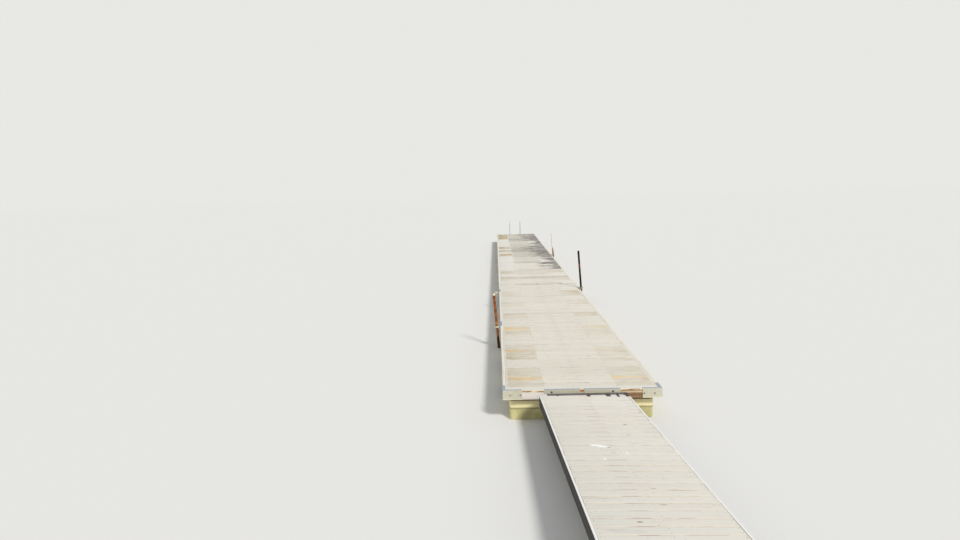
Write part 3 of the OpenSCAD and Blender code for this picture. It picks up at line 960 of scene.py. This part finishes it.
@shader_group("Mask", "Flakes", "Height", amount=0.5, flake_size=0.012)
def rust(vector, amount, flake_size):
    """Rust as it creeps over steel: a mask of where it has reached, and its own light and dark flakes."""
    ragged = cloud(vector, 26.0, 5.0, 0.65)
    flakes = cloud(vector, 1.0 / flake_size, 4.0, 0.6)
    return step_up(ragged + amount - 0.5, 0.42, 0.58), step_up(flakes, 0.3, 0.7), flakes * 0.7 + ragged * 0.3


def rusting_material(name, sound, light, dark, amount=0.5, rough=0.75, metallic=0.2, below=None, flake=0.012,
                     bands=()):
    """Steel that rusts over a sound tone. Where below is set, the rust grows down between two heights. Each
    band is where it begins and ends, its tone and its strength. All heights are measured from the deck."""
    material, tree = new_material(name)
    place = object_place(tree)
    height = parts_of(place)["Z"]
    if below:
        start, end = below
        amount = (1.0 - step_up(height, deck_top + start, deck_top + end)) * 0.62 + (amount - 0.12)
    spread = rust(place, amount=amount, flake_size=flake)
    clean = blend(spread["Flakes"] * 0.25, sound, dark)
    colour = blend(spread["Mask"], clean, blend(spread["Flakes"], light, dark))
    level = height + (cloud(place, 22.0) * 0.16 - 0.08)
    for start, end, tone, strength in bands:
        low, high = (step_up(level, deck_top + at - 0.02, deck_top + at + 0.02) for at in (start, end))
        colour = blend(low * (1.0 - high) * strength, colour, tone)
    rough = spread["Flakes"] * 0.15 + (rough - 0.1)
    return surface(material, colour, rough, (spread["Height"], 0.0012, 0.6), specular=0.2, metallic=metallic)


dark_steel = rusting_material("dark_steel", (92, 92, 94), (112, 84, 64), (58, 52, 50), amount=0.42)

plate = 0.006
lug_x, lug_bolt_level = 0.386, deck_top - 0.027
coupling_bolt_level = deck_top - 0.098
corner_bolt_level = deck_top - 0.060
half_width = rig.box("side_beams_1")[1].x
for bay in bays:
    low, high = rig.box(f"deck_{bay}")
    places = []
    corner_places = []
    for out, face in ((-1, low.y), (1, high.y)):
        outward = (0, out, 0)
        front = face + out * plate
        for side in (-1, 1):
            for inset in (0.089, 0.220):
                corner_places.append(((side * (half_width - inset), front, corner_bolt_level), outward))
            for inset in (0.070, 0.175):
                spot = (side * (half_width + plate), face - out * inset, corner_bolt_level)
                corner_places.append((spot, (side, 0, 0)))
            places.append(((side * lug_x, front, lug_bolt_level), outward))
            for x in (0.065, 0.250, 0.445):
                places.append(((side * x, front, coupling_bolt_level), outward))
    bolts(f"plate_bolts_{bay}", f"bay_{bay}", places, dark_steel)
    bolts(f"corner_bolts_{bay}", f"bay_{bay}", corner_places, dull_zinc, washer_radius=0.011)


# Hinge pins
# Steel bolts of 20 mm with hexagon heads and nuts, put across through the lugs at the gangway and at
# both seams, so that what they join can turn on them.
finish_nodes(["gangway_pins", "coupling_pins_1", "coupling_pins_2"], dark_steel, steel_bevel)


# Side brackets
# Galvanised angles screwed to the side beams, each with a welded ring in which a pipe can slide.
# Bolts run along each angle's face, and its narrow top flange lies on the deck.
side_brackets = {
    "bracket_left": ("bay_1", -1, 1),
    "bracket_left_spare": ("bay_1", -1, 1),
    "bracket_right_near": ("bay_1", 1, -1),
    "bracket_right_far": ("bay_2", 1, -1),
}
# The right-hand brackets take a darker, duller zinc: partly weathering, partly painted shade.
weathered_bracket = zinc_material("weathered_bracket", (176, 172, 156), (150, 146, 130), rough=0.65)
bracket_bolts = {"bay_1": [], "bay_2": []}
for name, (body, side, along) in side_brackets.items():
    finish_nodes([name], galvanised_plate if side < 0 else weathered_bracket, steel_bevel)
    low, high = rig.box(name)
    start = low.y if along > 0 else high.y
    for distance in (0.10, 0.20, 0.30, 0.39):
        for depth in (0.035, 0.085):
            spot = (side * (half_width + plate), start + along * distance, deck_top - depth)
            bracket_bolts[body].append((spot, (side, 0, 0)))
        if distance > 0.15:
            spot = (side * (half_width - 0.014), start + along * (distance - 0.04), deck_top + plate)
            bracket_bolts[body].append((spot, (0, 0, 1)))
for body, places in bracket_bolts.items():
    bolts(f"bracket_bolts_{body}", body, places, dull_zinc, washer_radius=0.0095, head_radius=0.0065,
          head_height=0.0045, washer_thickness=0.0015)


# Mooring pipes
# Plain steel pipes, each closed with a cap, that stand loose in the rings while the jetty rises and
# falls. The left one is brown with rust, the near right one rusty and darkened almost to black by painted
# shade, cap and all, and the third half sound.
def join_rings(made, rings):
    """Fills in the faces between each ring of points and the next. A ring can be a single point."""
    for lower, upper in zip(rings, rings[1:]):
        count = max(len(lower), len(upper))
        for k in range(count):
            following = (k + 1) % count
            if len(lower) == 1:
                corners = (lower[0], upper[following], upper[k])
            elif len(upper) == 1:
                corners = (lower[k], lower[following], upper[0])
            else:
                corners = (lower[k], lower[following], upper[following], upper[k])
            made.faces.new(corners)


def revolved(profile, base, axis, segments=40, rough=0.0, seed=0, flat_foot=None):
    """A turned shape as a bmesh. The profile runs from the foot's middle up to the top's middle, as pairs
    of radius and height along the axis. flat_foot cuts the foot off level at that height."""
    up = Vector(axis).normalized()
    first = Vector((0, 1, 0))
    second = up.cross(first)
    roll = random.Random(seed)
    waves = [(roll.randint(2, 9), roll.uniform(4, 40), roll.uniform(0, 6)) for _ in range(6)]
    made = bmesh.new()
    rings = []
    for radius, height in profile:
        ring = []
        for k in range(segments if radius else 1):
            angle = 2 * math.pi * k / segments
            swell = sum(math.sin(n * angle + pitch * height + phase) for n, pitch, phase in waves) * rough / 3
            out = first * math.cos(angle) + second * math.sin(angle)
            spot = Vector(base) + up * height
            if radius:
                spot += out * (radius + swell)
            if radius and flat_foot is not None and spot.z < flat_foot + 0.002:
                spot += up * ((flat_foot - spot.z) / up.z)
            ring.append(made.verts.new(spot))
        rings.append(ring)
    join_rings(made, rings)
    return made


near_black = (58, 42, 34)
pipe_foot = -0.02 - deck_top
rusty_pipe = rusting_material(
    "rusty_pipe", (144, 98, 58), (180, 106, 50), (98, 58, 36), amount=0.62, rough=0.9, metallic=0.0,
    flake=0.05, bands=((pipe_foot, -0.21, near_black, 0.8), (-0.19, -0.12, (190, 140, 116), 0.7),
                       (0.02, 0.05, (196, 152, 92), 0.6), (0.10, 0.16, near_black, 0.4),
                       (0.27, 0.31, near_black, 0.6), (0.42, 0.45, near_black, 0.45)))
# The near right pipe and its cap: dark rust, darkened further to almost black as painted shade.
dark_rusty_pipe = rusting_material(
    "dark_rusty_pipe", (34, 25, 20), (76, 44, 29), (29, 20, 17), amount=0.32, rough=0.95, metallic=0.0,
    bands=((0.46, 0.60, (132, 76, 44), 0.6),))
half_rusty_pipe = rusting_material(
    "half_rusty_pipe", (234, 231, 222), (214, 152, 80), (150, 92, 50), amount=0.12, rough=0.8, metallic=0.0,
    below=(0.20, 0.40), bands=((pipe_foot, 0.10, near_black, 0.8), (0.10, 0.20, (160, 94, 48), 0.7)))
cap_tone = rusting_material(
    "cap_tone", (232, 224, 204), (190, 150, 110), (160, 120, 86), amount=0.22, rough=0.7, metallic=0.0)

pipe_radius = 0.02415
pipe_wall = 0.0032
pipe_looks = {
    "pipe_left": ("rusty_pipe", rusty_pipe, cap_tone),
    "pipe_right_near": ("dark_rusty_pipe", dark_rusty_pipe, dark_rusty_pipe),
    "pipe_right_far": ("half_rusty_pipe", half_rusty_pipe, cap_tone),
}
joints = {joint["name"]: joint for joint in frame["record"]["behaviour"]["joints"]}
for name, (slot, material, cap_material) in pipe_looks.items():
    low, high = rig.box(name)
    axis = Vector(joints[f"{name}_slide"]["axis"])
    foot = Vector((high.x - pipe_radius if axis.x < 0 else low.x + pipe_radius, (low.y + high.y) / 2, 0))
    length = (high.z - pipe_radius * abs(axis.x)) / axis.z
    bore = pipe_radius - pipe_wall
    profile = [(0, length - 0.02), (bore, length - 0.02), (bore, 0.03), (bore, -0.002), (pipe_radius, -0.002)]
    steps = round(length / 0.04)
    profile += [(pipe_radius, length * k / steps) for k in range(1, steps)]
    profile += [(pipe_radius, length - 0.014), (pipe_radius - 0.001, length - 0.002), (0, length - 0.002)]
    tube = revolved(profile, foot, axis, rough=0.0005, seed=len(name), flat_foot=0.0)
    piece_from(name + "_tube", [tube], material, name, slot, [name])
    outer = pipe_radius + 0.0012
    inner = pipe_radius - 0.0004
    profile = [(radius, length + rise) for radius, rise in (
        (0, -0.0018), (inner, -0.0018), (inner, -0.03), (outer, -0.03), (outer + 0.0004, -0.026),
        (outer, -0.004), (outer - 0.003, 0.001), (outer - 0.009, 0.0035), (0, 0.0045))]
    cap = revolved(profile, foot, axis, seed=7)
    piece_from(name + "_cap", [cap], cap_material, name, slot)


# Bathing ladder
# Two galvanised tubes bent over in half circles, welded to round feet on the deck and held to the end
# plate by flat stays. Two treads folded from sheet are welded between them, below the deck.
def swept(path, radius, segments=24):
    """A round tube along a path that lies in a plane of constant X, closed at both ends."""
    made = bmesh.new()
    rings = []
    sideways = Vector((1, 0, 0))
    for number, spot in enumerate(path):
        before = path[max(0, number - 1)]
        after = path[min(len(path) - 1, number + 1)]
        across = (Vector(after) - Vector(before)).normalized().cross(sideways)
        ring = []
        for k in range(segments):
            angle = 2 * math.pi * k / segments
            out = sideways * math.cos(angle) + across * math.sin(angle)
            ring.append(made.verts.new(Vector(spot) + out * radius))
        rings.append(ring)
    join_rings(made, rings)
    made.faces.new(rings[0])
    made.faces.new(rings[-1])
    return made


galvanised_tube = zinc_material(
    "galvanised_tube", (206, 210, 212), (180, 184, 186), metallic=0.45, rough=0.42)
rail_radius = 0.01685
bend_steps = 28
foot_radius = 0.045
bolt_circle = 0.033
stay_wide = 0.030
small_heads = {"head_radius": 0.0055, "head_height": 0.004, "washer_thickness": 0.0012}
foot_bolts = []
for name in ("ladder_left_rail", "ladder_right_rail"):
    low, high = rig.box(name)
    x = (low.x + high.x) / 2
    outer_y, inner_y = high.y - rail_radius, low.y + foot_radius
    bend = (outer_y - inner_y) / 2
    bend_z = high.z - rail_radius - bend
    path = [(x, outer_y, low.z + (bend_z - low.z) * k / 8) for k in range(8)]
    for k in range(bend_steps + 1):
        angle = math.pi * k / bend_steps
        path.append((x, (outer_y + inner_y) / 2 + bend * math.cos(angle), bend_z + bend * math.sin(angle)))
    path += [(x, inner_y, bend_z + (deck_top - bend_z) * k / 6) for k in range(1, 7)]
    foot = revolved([(0, 0.0), (foot_radius, 0.0), (foot_radius, 0.0045), (foot_radius - 0.0015, 0.006),
                     (rail_radius + 0.006, 0.006), (rail_radius + 0.0012, 0.0105),
                     (rail_radius - 0.001, 0.0125), (0, 0.0125)], (x, inner_y, deck_top), (0, 0, 1))
    stay_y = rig.box("deck_3")[1].y + plate
    stay = bar((x - stay_wide / 2, stay_y, deck_top - 0.060), (x + stay_wide / 2, outer_y, deck_top - 0.054),
               bevel=0.001, spacing=1, wander=0)
    piece_from(name + "_tube", [swept(path, rail_radius), foot, stay], galvanised_tube, "bay_3",
               "galvanised_tube", [name])
    for k in range(4):
        angle = math.pi / 4 + math.pi / 2 * k
        spot = (x + bolt_circle * math.cos(angle), inner_y + bolt_circle * math.sin(angle), deck_top + plate)
        foot_bolts.append((spot, (0, 0, 1)))
bolts("ladder_foot_bolts", "bay_3", foot_bolts, dull_zinc, washer_radius=0.007, **small_heads)
finish_nodes(["ladder_steps"], galvanised_tube, steel_bevel)


@geometry_group(columns=14, column_pitch=0.034, rows=2, row_pitch=0.03, stud_radius=0.005, stud_height=0.0022,
                material=None)
def tread_studs(columns, column_pitch, rows, row_pitch, stud_radius, stud_height, material):
    """Raised studs in rows on the treads, pressed out of the sheet for grip."""
    stud = cone(12, stud_radius * 0.6, stud_radius, stud_height)
    return clad(made_real(on_points(grid(columns, column_pitch, rows, row_pitch), stud)), material)


low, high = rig.box("ladder_steps")
for number, level in enumerate((low.z + 0.024, high.z)):
    name = f"tread_studs_{number + 1}"
    middle = ((low.x + high.x) / 2, (low.y + high.y) / 2, level - 0.0003)
    made = evaluate_group(name, tread_studs, at=middle, material=galvanised_tube)
    put_piece(name, made, "bay_3", "galvanised_tube")


# Gangway
# A narrower bridge of the same make, hinged to the jetty's near end: three stringers, cross beams, side
# boards and a deck of narrow boards. Its corners at the jetty are cut off, and its sides' tops are white.
gang_head = Vector((0.006, deck_near - 0.075, deck_top - 0.034))
gang_turn, gang_rise, gang_lean = math.radians(2.60), math.radians(1.75), math.radians(2)
gang_place = (
    Matrix.Translation(gang_head)
    @ Matrix.Rotation(gang_turn, 4, "Z")
    @ Matrix.Rotation(-gang_rise, 4, "X")
    @ Matrix.Rotation(gang_lean, 4, "Y")
)
to_gangway = gang_place.inverted()
corner_cut = 0.100


def gangway_points(name):
    """A CAD node's points in the gangway's own frame, whose end at the jetty is at y = 0."""
    return [to_gangway @ vertex.co for vertex in frame["nodes"][name].data.vertices]


def gangway_box(name):
    """The corners of a CAD node in the gangway's own frame."""
    points = gangway_points(name)
    return tuple(Vector(pick(point[i] for point in points) for i in range(3)) for pick in (min, max))


gang_half = gangway_box("gangway_right_side")[1].x


def cut_corners(made):
    """Cuts off both corners of the gangway's end at the jetty, and closes the cuts."""
    for side in (-1, 1):
        cut_across(made, (side * (gang_half - corner_cut), 0, 0), (side, 1, 0), clear_outer=True)
        open_edges = [edge for edge in made.edges if edge.is_boundary]
        if open_edges:
            bmesh.ops.holes_fill(made, edges=open_edges, sides=0)


def to_its_place(shape):
    """Moves a bmesh from the gangway's own frame to where the gangway lies."""
    bmesh.ops.transform(shape, matrix=gang_place, verts=shape.verts)


def gangway_material(name, top, side, dark):
    """Side boards, almost white on top and dark grey on their faces: partly bleached and weathered wood,
    partly painted sunlight on the tops and painted shade on the faces.
    """
    material, tree = new_material(name)
    grain = sawn_grain(attribute(tree, "grain_place"))
    bleached_and_sunlit_top = blend(grain["Streaks"] * 0.3, top, (214, 210, 200))
    colour = blend(step_up(grain["Streaks"], 0.3, 0.7), side, dark)
    # Painted light and shade: faces that look up take the near-white top tone, the side faces keep the dark grey.
    on_top = step_up(facing_up(tree), 0.35, 0.8)
    colour = layers(colour, (grain["Fibres"] * 0.25, (46, 43, 41)), (on_top, bleached_and_sunlit_top))
    return sawn_surface(material, colour, 0.78, grain)


gangway_edge = gangway_material("gangway_edge", (250, 249, 245), (84, 80, 76), (56, 52, 50))
gangway_timber = timber_material(
    "gangway_timber", (112, 102, 88), (80, 72, 60), (48, 42, 34), wash=(70, 64, 54))


def gangway_bars(boxes, seed, **options):
    shapes = [bar(lo, hi, seed=seed + number, **options) for number, (lo, hi) in enumerate(boxes)]
    for shape in shapes:
        cut_corners(shape)
        to_its_place(shape)
    return shapes


for name in ("gangway_left_side", "gangway_right_side"):
    side_board = gangway_bars([gangway_box(name)], len(name))
    piece_from(name + "_board", side_board, gangway_edge, "gangway", "gangway_edge", [name])

beam_thick = 0.045
stringers, cross_beams = "gangway_stringers", "gangway_cross_beams"
low, high = gangway_box(stringers)
beams = []
for x in (low.x, -beam_thick / 2, high.x - beam_thick):
    beams.append(((x, low.y, low.z), (x + beam_thick, high.y, high.z)))
low, high = gangway_box(cross_beams)
row_count = 4
row_pitch = (high.y - low.y - beam_thick) / (row_count + 1)
for y in (low.y, high.y - beam_thick):
    beams.append(((low.x, y, low.z), (high.x, y + beam_thick, high.z)))
for row in range(1, row_count + 1):
    y = low.y + row * row_pitch
    for start, end in ((low.x + beam_thick, -beam_thick / 2), (beam_thick / 2, high.x - beam_thick)):
        beams.append(((start, y, low.z), (end, y + beam_thick, high.z)))
piece_from("gangway_timbers", gangway_bars(beams, 300, wander=0), gangway_timber, "gangway", "gangway_timber",
           [stringers, cross_beams])


def gangway_spots(colour):
    """A smear and a few spots of white on the boards, and some that are grey or brown."""
    place = attribute(colour.tree, "gangway_place")
    for x, y, wide, deep, tone, strength in (
        (-0.200, -1.772, 0.062, 0.022, (255, 255, 255), 1.0),
        (-0.130, -1.797, 0.066, 0.034, (255, 255, 255), 1.0),
        (-0.082, -1.822, 0.020, 0.014, (150, 150, 148), 0.8),
        (-0.181, -2.120, 0.017, 0.020, (252, 252, 250), 0.95),
        (0.061, -1.976, 0.015, 0.019, (250, 250, 248), 0.9),
        (0.029, -1.878, 0.011, 0.014, (246, 246, 242), 0.6),
        (0.241, -1.153, 0.020, 0.016, (150, 128, 100), 0.8),
        (0.520, -0.720, 0.022, 0.024, (190, 160, 116), 0.8),
        (-0.181, -3.341, 0.026, 0.014, (168, 140, 104), 0.8),
        (0.300, -2.800, 0.150, 0.010, (196, 178, 142), 0.6),
    ):
        away = vector_calc("MULTIPLY", vector_calc("SUBTRACT", place, (x, y, 0)), (1 / wide, 1 / deep, 0.0))
        distance = add("ShaderNodeVectorMath", {0: away}, operation="LENGTH")["Value"]
        ragged = cloud(place, 60.0) * 1.2 + distance
        colour = blend((1.0 - step_up(ragged, 1.35, 1.6)) * strength, colour, tone)
    return colour


gangway_boards = boards_material(
    "gangway_boards", (236, 233, 224), (232, 229, 219), (222, 216, 202), half_gap=0.7, half_reach=0.8,
    cut=(200, 180, 150), on_top=gangway_spots)
low, high = gangway_box("gangway_deck")
count = 38
plain_board = ((0, 0), (0, 0, 0), (0, 0, 0))
made = row_of_boards("gangway_boards", low, high, 0, count, gangway_boards, 0.003, (91, 9),
                     lambda number: plain_board, shift=0.0012, lift=0.0005)
shape = bmesh.new()
shape.from_mesh(made)
own_place = shape.verts.layers.float_vector.new("gangway_place")
cut_corners(shape)
for point in shape.verts:
    point[own_place] = point.co
to_its_place(shape)
bmesh.ops.recalc_face_normals(shape, faces=shape.faces[:])
shape.to_mesh(made)
shape.free()
put_piece("gangway_boards", made, "gangway", "gangway_boards", ["gangway_deck"])

pitch = pitch_of(low, high, count)
made = evaluate_group(
    "gangway_screws", screw_pairs, at=(0, (low.y + high.y) / 2 - pitch / 2, 0), columns=3,
    column_pitch=high.x - beam_thick / 2, rows=count - 1, row_pitch=pitch, pair=0.07, seed=71,
    material=dull_zinc)
made.transform(gang_place)
put_piece("gangway_screws", made, "gangway", "dark_steel")


# Gangway's flap and hinge eyes
# A strip of dark rubber hides the gap to the jetty. Small steel tabs, screwed to the end boards, grip
# its edge. Under it, two steel eyes bolted to the gangway's end beam turn on the pins.
def rubber_material():
    material, tree = new_material("dark_rubber")
    place = object_place(tree)
    marks = dirt(place, patch_size=0.12, speck_size=0.008)
    colour = blend(marks["Patches"], (104, 100, 98), (84, 80, 80))
    colour = blend(marks["Specks"] * 0.6, colour, (148, 142, 132))
    return surface(material, colour, marks["Patches"] * 0.15 + 0.72, (cloud(place, 220.0, 2.0), 0.0006, 0.5))


finish_nodes(["gangway_hinge_eyes"], dark_steel, steel_bevel)
low, high = gangway_box("gangway_flap")
flap_points = []
for point in gangway_points("gangway_flap"):
    if not any((point - other).length < 0.001 for other in flap_points):
        flap_points.append(point)
left_points = [point for point in flap_points if point.x < low.x + 0.01]
right_points = [point for point in flap_points if point.x > high.x - 0.01]
flap_left_thick = max(point.z for point in left_points) - low.z
flap_slope = (high.z - low.z - flap_left_thick) / (high.x - low.x)


def flap_top(x):
    """How high the flap's top lies at a place across the gangway: it thickens from left to right."""
    return low.z + flap_left_thick + flap_slope * (x - low.x)


def flap_front(x):
    """How far out the flap's edge lies on the boards at a place across the gangway."""
    left, right = (min(point.y for point in points) for points in (left_points, right_points))
    return left + (right - left) * (x - low.x) / (high.x - low.x)


outline = [point for point in flap_points if point.z < low.z + 0.001]
middle = sum(outline, Vector()) / len(outline)
outline.sort(key=lambda point: math.atan2(point.y - middle.y, point.x - middle.x))
flap = bmesh.new()
bottom = [flap.verts.new((point.x, point.y, low.z + 0.0003)) for point in outline]
top = [flap.verts.new((point.x, point.y, flap_top(point.x))) for point in outline]
flap.faces.new(bottom)
flap.faces.new(top)
join_rings(flap, [bottom, top])
flap_cuts = 28
for k in range(1, flap_cuts):
    cut_across(flap, (low.x + (high.x - low.x) * k / flap_cuts, 0, 0), (1, 0, 0))
for point in flap.verts:
    if point.co.z > low.z + 0.001:
        point.co.z -= 0.0008 * (1 + math.sin(point.co.x * 23) * math.sin(point.co.x * 7 + 1))
to_its_place(flap)
piece_from("rubber_flap", [flap], rubber_material(), "gangway", "dark_rubber", ["gangway_flap"])

tab_thick = 0.003
tabs = []
tab_bolts = []
for x, near, wide in ((-0.335, -0.092, 0.030), (0.050, -0.108, 0.044), (0.298, -0.104, 0.056),
                      (0.418, -0.118, 0.030), (0.535, -0.102, 0.038)):
    front = flap_front(x)
    left, right = x - wide / 2, x + wide / 2
    for lo, hi in (((left, near, low.z - 0.001), (right, front + 0.006, low.z + tab_thick)),
                   ((left, front - 0.003, low.z), (right, front + 0.014, flap_top(x) + 0.0015))):
        tab = bar(lo, hi, bevel=0.0008, spacing=1, wander=0)
        to_its_place(tab)
        tabs.append(tab)
    head = Vector((x, near + 0.012, low.z + tab_thick))
    tab_bolts.append((gang_place @ head, gang_place.to_3x3() @ Vector((0, 0, 1))))
piece_from("flap_tabs", tabs, dark_steel, "gangway", "dark_steel")
bolts("flap_bolts", "gangway", tab_bolts, dark_steel, washer_radius=0.008, **small_heads)


with open("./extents.json", "w") as sizes:
    shown_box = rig.bounds()
    json.dump({"cad": [list(cad_box[0]), list(cad_box[1])],
               "shown": [list(shown_box[0]), list(shown_box[1])]}, sizes)
